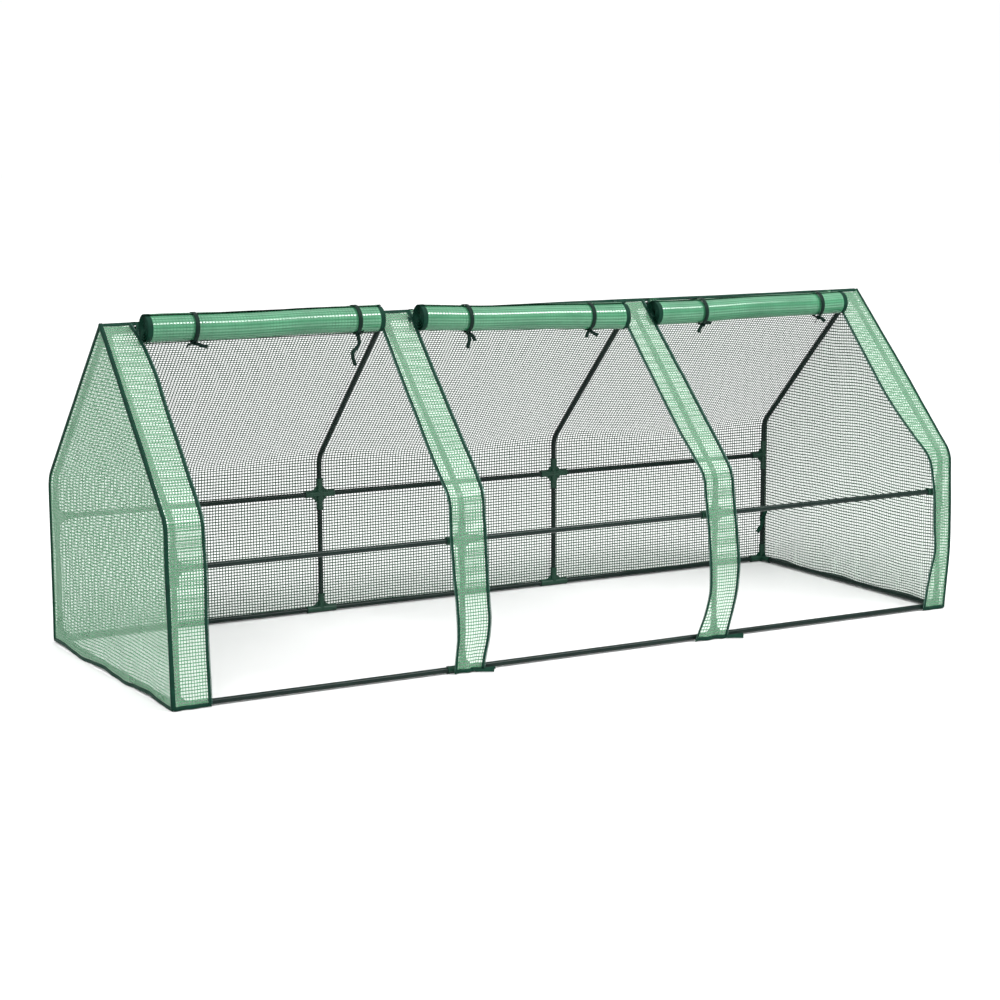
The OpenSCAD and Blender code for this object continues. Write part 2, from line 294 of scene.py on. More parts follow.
def woven_tape(name, light, dark, rough=0.6):
    """Woven polyester tape with slanting ribs, laid out by its own UVs in metres."""
    mat, shader, nodes, links = new_material(name, light, rough)
    uv = place_node(nodes, "UV")
    ribs = nodes.new("ShaderNodeTexWave")
    ribs.bands_direction = "DIAGONAL"
    ribs.inputs["Scale"].default_value = 160
    ribs.inputs["Distortion"].default_value = 0.6
    links.new(uv, ribs.inputs["Vector"])
    wear = noise(nodes, links, uv, 35, 4)
    base = ramp(nodes, links, wear, [(0.3, dark), (0.75, light)])
    mix = nodes.new("ShaderNodeMix")
    mix.data_type = "RGBA"
    mix.blend_type = "MULTIPLY"
    mix.inputs["Factor"].default_value = 0.35
    links.new(base, mix.inputs["A"])
    links.new(ribs.outputs["Color"], mix.inputs["B"])
    links.new(mix.outputs["Result"], shader.inputs["Base Color"])
    bump(nodes, links, ribs.outputs["Fac"], shader, 0.5, 0.0005)
    shader.inputs["Specular IOR Level"].default_value = 0.12
    return mat


def enamelled_metal():
    """Green-enamelled zip metal, worn lighter on raised places."""
    mat, shader, nodes, links = new_material("enamelled_metal", (0.03, 0.1, 0.07), 0.3)
    place = place_node(nodes)
    wear = noise(nodes, links, place, 220, 4)
    links.new(ramp(nodes, links, wear, [(0.4, (0.01, 0.06, 0.04)), (0.8, (0.12, 0.2, 0.17))]),
              shader.inputs["Base Color"])
    spread_roughness(nodes, links, wear, shader, 0.22, 0.45)
    shader.inputs["Metallic"].default_value = 0.6
    return mat


# ---- meshes ----


def add_mesh(name, points, faces, materials, face_materials=None, smooth=True, uvs=None):
    mesh = bpy.data.meshes.new(name)
    mesh.from_pydata(np.asarray(points, float).reshape(-1, 3).tolist(), [], faces)
    for mat in materials:
        mesh.materials.append(mat)
    if face_materials is not None:
        mesh.polygons.foreach_set("material_index", np.asarray(face_materials, np.int32))
    mesh.polygons.foreach_set("use_smooth", np.full(len(mesh.polygons), smooth))
    if uvs is not None:
        layer = mesh.uv_layers.new(name="cloth")
        loops = np.empty(len(mesh.loops), np.int32)
        mesh.loops.foreach_get("vertex_index", loops)
        layer.data.foreach_set("uv", np.asarray(uvs, float).reshape(-1, 2)[loops].ravel())
    mesh.update()
    piece = bpy.data.objects.new(name, mesh)
    bpy.context.scene.collection.objects.link(piece)
    return piece


def grid_faces(rows, columns, wrap=False, start=0):
    """Quads over rows by columns points, closed round the columns if wrap says so."""
    r, c = np.meshgrid(np.arange(rows - 1), np.arange(columns if wrap else columns - 1), indexing="ij")
    a, b = r * columns + c, r * columns + (c + 1) % columns
    return (np.stack((a, b, b + columns, a + columns), -1).reshape(-1, 4) + start).tolist()


def grid(rows, columns):
    """Two arrays over rows by columns places: the first holds each place's row, the second its column."""
    return np.meshgrid(rows, columns, indexing="ij")


def film_piece(name, surface, u, v, mat):
    """A sheet over the grid of u by v."""
    us, vs = grid(u, v)
    return add_mesh(name, surface(us, vs), grid_faces(len(u), len(v)), [mat], uvs=np.stack((us, vs), -1))


def lengthways(places, along, half):
    """A run of yarns, one at each u in places, each following v; half is half a yarn's width in u."""
    u, v = grid(places, along)
    return u, v, (half, 0)


def crossways(places, along, half):
    """A run of yarns, one at each v in places, each following u; half is half a yarn's width in v."""
    v, u = grid(places, along)
    return u, v, (0, half)


def normals(surface, u, v, step=1 * MM):
    across = surface(u + step, v) - surface(u - step, v)
    along = surface(u, v + step) - surface(u, v - step)
    n = np.cross(across, along)
    return n / np.maximum(np.linalg.norm(n, axis=-1, keepdims=True), 1e-12)


YARN_SINK = 0.15  # how far a yarn's flat side lies inside the film, in millimetres
YARN_CROWN = 0.45  # how far its raised side stands out, in millimetres


def yarns(surface, u, v, across, flip=1):
    """Yarns of three-cornered section along rows of u and v; across is (du, dv), half a yarn's width in each.

    The raised side faces out, and the flat side lies just inside the film."""
    n = normals(surface, u, v) * flip
    left = surface(u - across[0], v - across[1]) - n * YARN_SINK * MM
    right = surface(u + across[0], v + across[1]) - n * YARN_SINK * MM
    crown = surface(u, v) + n * YARN_CROWN * MM
    ring = np.stack((left, crown, right), 2)
    count, length = u.shape
    points = ring.reshape(-1, 3)
    faces, sides = [], []
    for k in range(count):
        start = k * length * 3
        faces += grid_faces(length, 3, wrap=True, start=start)
        # sides picks each face's material: the two raised faces take the first, and the flat inner face takes
        # the second, a darker copy of the yarn painted in shade for the cover's inside
        sides += [0, 0, 1] * (length - 1)
        last = start + (length - 1) * 3
        faces += [(start, start + 2, start + 1), (last, last + 1, last + 2)]
        sides += [0, 0]
    return points, faces, sides


def join_meshes(parts):
    """Joins (points, faces, sides) parts into one."""
    points, faces, sides, start = [], [], [], 0
    for p, f, s in parts:
        points.append(p)
        faces += [tuple(i + start for i in face) for face in f]
        sides += s
        start += len(p)
    return np.concatenate(points), faces, sides


def spaced(low, high, pitch):
    """Evenly spaced places between low and high, about a pitch apart, half a pitch in from each end."""
    count = max(1, round((high - low) / pitch))
    return low + (np.arange(count) + 0.5) * (high - low) / count


def smooth_line(points, step=6 * MM):
    """A smooth curve through the points, sampled at about the step."""
    p = np.asarray(points, float)
    if len(p) < 3:
        count = max(2, int(np.linalg.norm(p[-1] - p[0]) / step) + 1)
        return p[0] + (p[-1] - p[0]) * np.linspace(0, 1, count)[:, None]
    ends = np.concatenate(([2 * p[0] - p[1]], p, [2 * p[-1] - p[-2]]))
    out = []
    for i in range(1, len(ends) - 2):
        a, b, c, d = ends[i - 1:i + 3]
        count = max(2, int(np.linalg.norm(c - b) / step) + 1)
        t = np.linspace(0, 1, count, endpoint=False)[:, None]
        bend = (2 * a - 5 * b + 4 * c - d) * t**2 + (3 * b - a - 3 * c + d) * t**3
        out.append(0.5 * (2 * b + (c - a) * t + bend))
    return np.concatenate(out + [p[-1:]])


def unit(v):
    return v / np.maximum(np.linalg.norm(v, axis=-1, keepdims=True), 1e-12)


def band(line, side, width, thick):
    """A flat tape with rounded edges along a line; side is the way across it, for each point or for all."""
    line = np.asarray(line, float)
    along = unit(np.gradient(line, axis=0))
    side = np.broadcast_to(np.asarray(side, float), line.shape)
    side = unit(side - along * (side * along).sum(1, keepdims=True))
    out = np.cross(along, side)
    half, t = width / 2, thick / 2
    section = [(-half, 0), (-half + t * 0.6, t), (0, t * 1.15), (half - t * 0.6, t), (half, 0),
               (half - t * 0.6, -t), (0, -t * 1.15), (-half + t * 0.6, -t)]
    points = np.stack([line + side * a + out * b for a, b in section], 1)
    run = np.concatenate(([0], np.cumsum(np.linalg.norm(np.diff(line, axis=0), axis=1))))
    uvs = np.stack(np.broadcast_arrays(run[:, None], np.array([a for a, _ in section])[None, :]), -1)
    last = (len(line) - 1) * 8
    faces = grid_faces(len(line), 8, wrap=True) + [tuple(range(7, -1, -1)), tuple(last + k for k in range(8))]
    return points.reshape(-1, 3), faces, uvs.reshape(-1, 2)


def add_bands(name, bands, mat):
    """One piece from several bands."""
    points, faces, uvs, start = [], [], [], 0
    for p, f, t in bands:
        points.append(p)
        uvs.append(t)
        faces += [tuple(i + start for i in face) for face in f]
        start += len(p)
    return add_mesh(name, np.concatenate(points), faces, [mat], uvs=np.concatenate(uvs))


def fixed(piece, slot, *nodes):
    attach(piece, "greenhouse")
    if nodes:
        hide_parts(*nodes)
    return piece


# ---- shape of the cover ----


def profile(s, out=0.0):
    """Distance outward, height and outward normal at s along the cover's cut, out from its outer face."""
    s = np.asarray(s, float)
    angle = np.clip((s - WALL) / (BEND_R + SKIN), 0, TURN)
    slope = np.maximum(s - WALL - ARC, 0)
    ny, nz = np.cos(angle), np.sin(angle)
    y = HALF - BEND_R + (BEND_R + SKIN) * ny - slope * math.sin(TURN) + out * ny
    z = FOOT + np.minimum(s, WALL) + (BEND_R + SKIN) * nz + slope * math.cos(TURN) + out * nz
    return y, z, ny, nz


def soft_step(low, high, x):
    """0 up to low and 1 from high on, smooth between them; low may be the larger of the two."""
    t = np.clip((x - low) / (high - low), 0, 1)
    return t * t * (3 - 2 * t)


def hump(low, high, x):
    """0 at low and high, 1 between them, as a smooth hump."""
    return np.sin(np.pi * np.clip((x - low) / (high - low), 0, 1)) ** 2


def ripple(a, b, seed, waves=7, shortest=0.09, longest=0.5, lean=1.0):
    """A sum of seeded waves over the plane of a and b, in metres, about -1 to 1."""
    rng = np.random.default_rng(seed)
    total = 0.0
    for length in np.geomspace(shortest, longest, waves):
        turn = rng.uniform(-0.6, 0.6) * lean + rng.integers(2) * math.pi / 2
        phase = rng.uniform(0, 2 * math.pi)
        place = a * math.cos(turn) + b * math.sin(turn)
        total = total + length / longest * np.sin(2 * math.pi / length * place + phase)
    return total / 2.2


def between_hoops(x):
    """0 at every hoop and 1 midway between two."""
    pitch = HOOPS[1] - HOOPS[0]
    return np.sin(np.pi * (x - HOOPS[0]) / pitch) ** 2


def rear_surface(x, s):
    """The rear canopy: roof, bend and wall in one sheet, sagging between the hoops."""
    free = between_hoops(x)
    held = hump(-0.05, CUT + 0.01, s)
    mid_rail = 1 - hump(MID_Z - 0.09, MID_Z + 0.09, s)
    sag = 11 * MM * free * hump(WALL * 0.9, CUT, s)
    corner = 14 * MM * free * hump(WALL - 0.16, WALL + ARC + 0.2, s)
    wrinkle = 2.6 * MM * ripple(x, s, 3, 6, 0.14) * held * mid_rail * (0.35 + 0.65 * free)
    y, z, ny, nz = profile(s, -sag - corner + wrinkle)
    lift = 3 * MM * (1 + ripple(x, 0 * x, 8, 4, 0.16, 0.6)) * (1 - soft_step(0, 0.12, s))
    return np.stack(np.broadcast_arrays(x, y, z + lift), -1)


def end_top(y):
    """Height of the cover's end over the ground at y."""
    away = np.abs(y)
    in_bend = np.clip(away - (HALF - BEND_R), 0, BEND_R + SKIN)
    arc_z = EAVE_Z - BEND_RUN + np.sqrt((BEND_R + SKIN) ** 2 - in_bend**2)
    return np.where(in_bend > (BEND_R + SKIN) * math.cos(TURN), arc_z, APEX_Z - away * math.tan(ROOF))


def end_half(z):
    """Half the width of the cover's end at height z."""
    low = EAVE_Z - BEND_RUN
    in_bend = np.clip(z - low, 0, (BEND_R + SKIN) * math.sin(TURN))
    arc_y = HALF - BEND_R + np.sqrt((BEND_R + SKIN) ** 2 - in_bend**2)
    return np.maximum(np.minimum(arc_y, (APEX_Z - z) / math.tan(ROOF)), 0)


# ---- front strips: each edge is (distance along the cut, distance from the hoop), in millimetres ----

STRIP_W = 0.115  # about a strip's width, which turns a yarn's width into a share of it
WARP_SHARE, WEFT_SHARE = 0.36, 0.4  # half a yarn's width on the front, as a share of WARP_W and WEFT_W
STRIP_EDGES = [
    ([(0, -14), (180, -18), (400, -22), (700, -17), (1100, -11)],
     [(0, 84), (200, 79), (365, 79), (440, 76), (560, 80), (800, 84), (950, 88), (1040, 80), (1100, 66)]),
    ([(0, -36), (30, -33), (90, -24), (175, -25), (260, -34), (350, -41), (460, -46), (800, -39),
      (1100, -27)],
     [(0, 50), (30, 55), (90, 71), (130, 76), (175, 74), (260, 69), (350, 65), (440, 60), (520, 64),
      (800, 69), (1100, 76)]),
    ([(0, -76), (26, -65), (70, -44), (100, -33), (130, -25), (170, -23), (260, -28), (350, -38), (445, -48),
      (540, -55), (1100, -60)],
     [(0, 28), (30, 37), (70, 51), (120, 66), (170, 73), (210, 75), (260, 71), (350, 61), (445, 50),
      (600, 50), (1100, 38)]),
    ([(0, -60), (30, -55), (110, -40), (175, -24), (240, -27), (366, -35), (430, -48), (490, -68), (560, -79),
      (1100, -80)],
     [(0, 17), (90, 25), (150, 31), (410, 27), (600, 26), (800, 26), (1100, 22)]),
]


def edge_line(points):
    """A smooth function from the distance along the cut to x, through points in millimetres."""
    p = np.array(points, float) * MM
    s, x = p[:, 0], p[:, 1]
    slope = np.gradient(x, s)

    def at(q):
        q = np.clip(q, s[0], s[-1])
        i = np.clip(np.searchsorted(s, q, side="right") - 1, 0, len(s) - 2)
        h = s[i + 1] - s[i]
        t = (q - s[i]) / h
        return (x[i] * (1 + 2 * t) * (1 - t) ** 2 + slope[i] * h * t * (1 - t) ** 2
                + x[i + 1] * t * t * (3 - 2 * t) + slope[i + 1] * h * t * t * (t - 1))

    return at


def end_surface(side):
    """The end panel on one side: -1 left, 1 right. It hangs from the hoop and billows a little."""
    strip_left, strip_right = edge_line(STRIP_EDGES[0][0]), edge_line(STRIP_EDGES[3][1])

    def surface(y, z):
        inside = np.clip(np.minimum((end_half(z) - np.abs(y)) / 0.12, 1), 0, 1)
        inside = inside * inside * (3 - 2 * inside)
        rail = 1 - 0.6 * hump(MID_Z - 0.05, MID_Z + 0.05, z) * soft_step(0.3, 0.4, np.abs(y))
        billow = 3.5 * MM * inside
        wrinkle = 3.0 * MM * ripple(y, z * 1.15, 20 + side, 7, 0.12, 0.42, 0.7)
        wrinkle = wrinkle * (0.25 + 0.75 * inside) * rail
        hem = 2.5 * MM * np.sin(2 * math.pi * y / 0.21 + side) * (1 - soft_step(0, 0.16, z))
        low = EAVE_Z - BEND_RUN
        s = np.minimum(z, low) - FOOT + np.maximum(z - low, 0) * (CUT - WALL) / (APEX_Z - low)
        edge = HOOPS[3] + strip_right(s) if side > 0 else -HOOPS[0] - strip_left(s)
        seam = (edge - END_X) * (1 - inside) * soft_step(0.1, -0.1, y)
        x = side * (END_X + 1.0 * MM + billow + seam + (wrinkle + np.abs(hem)) * (0.4 + 0.6 * inside))
        drop = 3.5 * MM * (1 + np.sin(2 * math.pi * y / 0.31 + 0.6)) * (1 - soft_step(0, 0.1, z))
        slack = 5 * MM * ripple(y, z, 50 + side, 5, 0.16, 0.6, 0.5) * inside * soft_step(0, 0.1, z)
        return np.stack(np.broadcast_arrays(x, y, z + drop + slack), -1)

    return surface


def strip_surface(n):
    """Front strip n: a is 0 at its left edge and 1 at its right edge, s runs from the foot to the ridge."""
    left, right = (edge_line(e) for e in STRIP_EDGES[n - 1])
    tied = n in (2, 3)

    def lift(a, x, s):
        """How far the strip stands out from the cover's outer face."""
        held = hump(-0.02, CUT + 0.002, s)
        over = np.clip((a * 2 - 1) ** 2, 0, 1)
        curl = (2.0 * over + 0.8 * (1 - over)) * MM
        folds = (3.2 if tied else 1.6) * MM * np.sin(a * 2 * math.pi * 2.0 + n) * (1 - soft_step(0, 0.2, s))
        wrinkle = 1.7 * MM * ripple(x, s, 40 + n, 7, 0.05, 0.3) * np.sqrt(held)
        pulled = 5 * MM * (1 - soft_step(0, 0.12, s)) if tied else 0
        return curl + folds + wrinkle + pulled

    def surface(a, s):
        low, high = HOOPS[n - 1] + left(s), HOOPS[n - 1] + right(s)
        x = low + a * (high - low)
        y, z, _, _ = profile(s, lift(a, x, s))
        return np.stack(np.broadcast_arrays(x, -np.maximum(y, 0.0), z), -1)

    surface.edges = (left, right)
    surface.lift = lift
    return surface


# ---- cover pieces ----


def build_yarns(name, surface, runs, mats, flip=1):
    """Yarn piece over a surface; each run is (u, v, across)."""
    points, faces, sides = join_meshes([yarns(surface, u, v, across, flip) for u, v, across in runs])
    return add_mesh(name, points, faces, mats, sides, smooth=False)


def build_rear(mats):
    x0, x1 = -END_X - 2 * MM, END_X + 2 * MM
    film = film_piece("rear_cover", rear_surface, np.linspace(x0, x1, 150), np.linspace(0, CUT, 90),
                      mats["rear_film"])
    warp = lengthways(spaced(x0, x1, WARP_PITCH), np.linspace(0, CUT - 2 * MM, 48), WARP_W / 2)
    weft = crossways(spaced(0, CUT - 4 * MM, WEFT_PITCH), np.linspace(x0, x1, 100), WEFT_W / 2)
    net = build_yarns("rear_cover_yarns", rear_surface, [warp, weft], mats["yarns"], -1)
    fixed(film, "cover_film", "rear_roof_panel", "rear_wall_panel")
    fixed(net, "cover_film")
    return film, net


def build_end(side, mats):
    name = "left" if side < 0 else "right"
    surface = end_surface(side)
    low = EAVE_Z - BEND_RUN
    rows = np.concatenate((np.linspace(0, low, 40), np.linspace(low, APEX_Z - 1 * MM, 44)[1:]))
    share = np.linspace(-1, 1, 81)
    half = end_half(rows)
    zz, shares = grid(rows, share)
    yy = shares * half[:, None]
    film = add_mesh(f"{name}_end_cover", surface(yy, zz), grid_faces(len(rows), len(share)),
                    [mats["end_film"]], uvs=np.stack((yy, zz), -1))
    ys = spaced(-HALF - SKIN, HALF + SKIN, WEFT_PITCH)
    zs = spaced(2 * MM, APEX_Z - 6 * MM, WARP_PITCH)
    t = np.linspace(0, 1, 50)
    tops = end_top(ys) - 1 * MM
    halves = end_half(zs)
    upright = (ys[:, None] + 0 * t, tops[:, None] * t, (WARP_W * 0.34, 0))
    level = ((2 * t - 1) * halves[:, None], zs[:, None] + 0 * t, (0, WEFT_W * 0.47))
    net = build_yarns(f"{name}_end_yarns", surface, [upright, level], mats["yarns"], side)
    fixed(film, "cover_film", f"{name}_end_panel")
    fixed(net, "cover_film")
    return film, net, surface


def build_strip(n, mats):
    surface = strip_surface(n)
    film = film_piece(f"front_strip_{n}_cover", surface, np.linspace(0, 1, 17), np.linspace(0, CUT, 90),
                      mats["strip_film"])
    warp = lengthways(spaced(0, 1, WARP_PITCH / STRIP_W), np.linspace(0, CUT, 70),
                      WARP_W * WARP_SHARE / STRIP_W)
    weft = crossways(spaced(0, CUT - 3 * MM, WEFT_PITCH), np.linspace(0, 1, 9), WEFT_W * WEFT_SHARE)
    net = build_yarns(f"front_strip_{n}_yarns", surface, [warp, weft], mats["yarns"], 1)
    fixed(film, "cover_film", f"front_strip_{n}")
    fixed(net, "cover_film")
    return film, net, surface


# ---- bindings and zips ----

TAPE_W = 10 * MM
HEM_T = 2.2 * MM
ZIP_W = 7.5 * MM
TOOTH = 2.6 * MM  # pitch of the zip's teeth
GABLE_CENTRE = np.array((0, 0, 0.4))  # each gable's binding stands square to the lines from here


def strip_edge(surface, a, s, lift=1.2 * MM):
    """Points and outward normals along one edge of a strip."""
    a = np.full_like(s, a) if np.isscalar(a) else a
    n = normals(surface, a, s)
    return surface(a, s) + n * lift, n


def build_zips(strips, mats):
    """Zip tape along every edge that borders a doorway, with its row of teeth on the doorway's side."""
    pieces = []
    for n, surface in enumerate(strips, 1):
        left, right = surface.edges
        for name, a, way in (("left", 0.0, 1), ("right", 1.0, -1)):
            if (n, name) in ((1, "left"), (4, "right")):
                continue
            s = np.linspace(6 * MM, CUT - 3 * MM, 150)
            width = right(s) - left(s)
            inner = a + way * ZIP_W / 2 / width
            line, _ = strip_edge(surface, inner, s)
            across = surface(inner + 0.01, s) - surface(inner - 0.01, s)
            tape = band(line, across, ZIP_W, 1.8 * MM)
            teeth = []
            rail, rail_out = strip_edge(surface, np.full_like(s, a) - way * 1.2 * MM / width, s, 1.6 * MM)
            run = np.concatenate(([0], np.cumsum(np.linalg.norm(np.diff(rail, axis=0), axis=1))))
            for d in np.arange(TOOTH, run[-1] - TOOTH, TOOTH):
                k = np.searchsorted(run, d)
                f = (d - run[k - 1]) / (run[k] - run[k - 1])
                p = rail[k - 1] * (1 - f) + rail[k] * f
                teeth.append((p, unit(rail[k] - rail[k - 1]), unit(across[k]), rail_out[k]))
            pieces.append((f"strip_{n}_{name}_zip", tape, teeth))
    made = []
    for name, tape, teeth in pieces:
        box_points, box_faces = [], []
        for k, (p, along, across, out) in enumerate(teeth):
            i = 8 * k
            for dz in (-0.35, 0.35):
                for dx, dy in ((-1, -0.5), (1, -0.5), (1, 0.6), (-1, 0.6)):
                    sideways = across * (dx * 1.5 * MM) + out * (dy * 1.2 * MM)
                    box_points.append(p + along * (dz * TOOTH) + sideways)
            box_faces += [(i, i + 3, i + 2, i + 1), (i + 4, i + 5, i + 6, i + 7)]
            box_faces += [(i + j, i + (j + 1) % 4, i + 4 + (j + 1) % 4, i + 4 + j) for j in range(4)]
        teeth_piece = add_mesh(f"{name}_teeth", box_points, box_faces, [mats["teeth"]], smooth=False)
        tape_piece = add_bands(f"{name}_tape", [tape], mats["tape"])
        fixed(tape_piece, "binding_tape")
        fixed(teeth_piece, "zip_metal")
        made += [tape_piece, teeth_piece]
    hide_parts("zip_tapes")
    return made


def gable_line(surface, inset):
    """Points round an end panel, from the front foot over the ridge to the rear foot."""
    s = np.linspace(4 * MM, CUT, 130)
    y, z, _, _ = profile(s, -inset)
    ys, zs = np.concatenate((-y, y[::-1][1:])), np.concatenate((z, z[::-1][1:]))
    return surface(ys, zs)


def build_bindings(ends, strips, mats):
    bands = []
    for side, surface in zip((-1, 1), ends):
        line = gable_line(surface, 3 * MM)
        line[:, 0] += side * 1.0 * MM
        bands.append(band(line, unit(line - GABLE_CENTRE) * (0, 1, 1), TAPE_W, 5.5 * MM))
        y = np.linspace(-HALF - SKIN, HALF + SKIN, 90)
        hem = surface(y, np.full_like(y, 5 * MM))
        hem[:, 0] += side * 0.8 * MM
        bands.append(band(hem, (0, 0, 1), TAPE_W, HEM_T))
    x = np.linspace(-END_X - 4 * MM, END_X + 4 * MM, 160)
    ridge = np.stack((x, 0 * x, APEX_Z + 1.4 * MM + 1.2 * MM * ripple(x, 0 * x, 5, 4, 0.2, 0.8)), -1)
    for side in (-1, 1):
        flap = ridge.copy()
        flap[:, 1] += side * 3.4 * MM
        flap[:, 2] -= 3.4 * MM * math.tan(ROOF)
        bands.append(band(flap, (0, side, -math.tan(ROOF)), 11 * MM, 3.2 * MM))
    hem = rear_surface(x, np.full_like(x, 5 * MM))
    hem[:, 1] += 0.8 * MM
    bands.append(band(hem, (0, 0, 1), TAPE_W, HEM_T))
    for surface in strips:
        a = np.linspace(0, 1, 24)
        line, _ = strip_edge(surface, a, np.full_like(a, 5 * MM), 0.6 * MM)
        bands.append(band(line, (0, 0, 1), TAPE_W, HEM_T))
    for n, a in ((0, 0.0), (3, 1.0)):
        s = np.linspace(3 * MM, CUT, 130)
        line, _ = strip_edge(strips[n], a, s, 0.4 * MM)
        bands.append(band(line, (1, 0, 0), 8 * MM, 3 * MM))
    piece = add_bands("cover_binding", bands, mats["tape"])
    return fixed(piece, "binding_tape", "seam_binding")


# ---- doors ----

ROLL_LOW, ROLL_HIGH = (np.array(v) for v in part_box("door_1_roll"))
ROLL_R = (ROLL_HIGH[1] - ROLL_LOW[1]) / 2
ROLL_Y = (ROLL_HIGH[1] + ROLL_LOW[1]) / 2
ROLL_Z = ROLL_LOW[2] + ROLL_R
DOOR_OUT = 1.4 * MM  # the closed door lies this far out from the strips' outer face
STOWED = 3 * MM  # a stowed panel is gathered into this length
PANEL_TOP = CUT - 1 * MM
PANEL_FOOT = 18 * MM
CLOTH_LENGTH = PANEL_TOP - PANEL_FOOT  # the closed door's length is the length that is rolled up


def stow(points, start, way, reach):
    """Places from which a slide of that reach carries the points to where they are now."""
    place = (points - start) @ way
    share = np.clip(place / reach, 0, 1)
    for _ in range(40):
        gathered = STOWED * (0.5 - np.sin(np.arcsin(1 - 2 * share) / 3))
        share = np.clip((place - gathered) / reach, 0, 1)
    return points - share[:, None] * reach * way


def door_panel(n, part, strips):
    """Closed door cloth of one part, roof or wall: a is 0 and 1 at the zips of the strips beside it."""
    if part == "roof":
        s0, s1 = WALL, PANEL_TOP
    else:
        s0, s1 = PANEL_FOOT, WALL
    before, after = strips[n - 1], strips[n]
    gap = 3.6 * MM  # room for the teeth

    def surface(a, s):
        x0 = HOOPS[n - 1] + before.edges[1](s) + gap
        x1 = HOOPS[n] + after.edges[0](s) - gap
        x = x0 + a * (x1 - x0)
        window = hump(WALL + ARC, CUT + 0.02, s) if part == "roof" else hump(-0.05, WALL + 0.01, s)
        sag = 4 * MM if part == "roof" else 0
        slack = DOOR_OUT + (1.6 * MM * ripple(x, s, 60 + n) - sag) * window
        near_before, near_after = 1 - soft_step(0, 0.1, x - x0), 1 - soft_step(0, 0.1, x1 - x)
        out = (near_before * before.lift(1.0, x, s) + near_after * after.lift(0.0, x, s)
               + (1 - near_before - near_after) * slack)
        y, z, _, _ = profile(s, out)
        return np.stack(np.broadcast_arrays(x, -y, z), -1)

    return surface, (s0, s1)


def slide_back(piece, n, part):
    """Takes a closed-door mesh back to its stowed place, at the start of the slide of the joint that pays it
    out.
    """
    mesh = piece.data
    points = np.array([v.co for v in mesh.vertices])
    roof, wall = travel(f"door_{n}_roof_slide"), travel(f"door_{n}_wall_slide")
    if part == "roof":
        y, z, _, _ = profile(CUT, DOOR_OUT)
        start, move = np.array((0, -float(y), float(z))), roof
    else:
        points = points - roof
        y, z, _, _ = profile(WALL, DOOR_OUT)
        start, move = np.array((0, -float(y), float(z))) - roof, wall
    reach = np.linalg.norm(move)
    way = move / reach
    points = stow(points, start, way, reach)
    mesh.vertices.foreach_set("co", points.ravel())
    mesh.update()
    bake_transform(piece)


def build_door_panels(n, strips, mats):
    pieces = []
    width = HOOPS[1] - HOOPS[0] - 0.11
    for part in ("roof", "wall"):
        surface, (s0, s1) = door_panel(n, part, strips)
        rows = 60 if part == "roof" else 40
        film = film_piece(f"door_{n}_{part}_panel", surface, np.linspace(0, 1, 44), np.linspace(s0, s1, rows),
                          mats["strip_film"])
        warp = lengthways(spaced(0, 1, WARP_PITCH / width), np.linspace(s0, s1, rows // 2),
                          WARP_W * WARP_SHARE / width)
        weft = crossways(spaced(s0, s1, WEFT_PITCH), np.linspace(0, 1, 28), WEFT_W * WEFT_SHARE)
        net = build_yarns(f"door_{n}_{part}_yarns", surface, [warp, weft], mats["yarns"], 1)
        s = np.linspace(s0, s1, 60)
        edges = []
        for a in (ZIP_W / 2 / width, 1 - ZIP_W / 2 / width):
            line, _ = strip_edge(surface, a, s)
            edges.append(band(line, (1, 0, 0), ZIP_W, 1.6 * MM))
        tape = add_bands(f"door_{n}_{part}_edges", edges, mats["tape"])
        for piece in (film, net, tape):
            slide_back(piece, n, part)
            pieces.append(piece)
    return pieces


ROLL_CORE = 9 * MM
SPIRAL_R = ROLL_R + 1.5 * MM

# each roll's left and right end against the CAD roll: how much higher, how much thicker and how much shorter
ROLL_LIFT = [(17 * MM, 17 * MM), (12 * MM, -9 * MM), (-7.5 * MM, -1 * MM)]
ROLL_SWELL = [(0, 1 * MM), (-1 * MM, 3 * MM), (0, -3 * MM)]
ROLL_INSET = [(6 * MM, 6 * MM), (14 * MM, 13 * MM), (-9 * MM, 24 * MM)]
ROLL_SAG = (1.0 * MM, 2.5 * MM, 0.5 * MM)


def roll_height(n, x):
    """Height of roll n's centre line at x: it hangs a little between its ends."""
    low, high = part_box(f"door_{n}_roll")
    t = (x - low[0]) / (high[0] - low[0])
    left, right = ROLL_LIFT[n - 1]
    sag = ROLL_SAG[n - 1] * np.sin(math.pi * t)
    return ROLL_Z + left + (right - left) * t - sag + 1.2 * MM * np.sin(3 * math.pi * t + n)


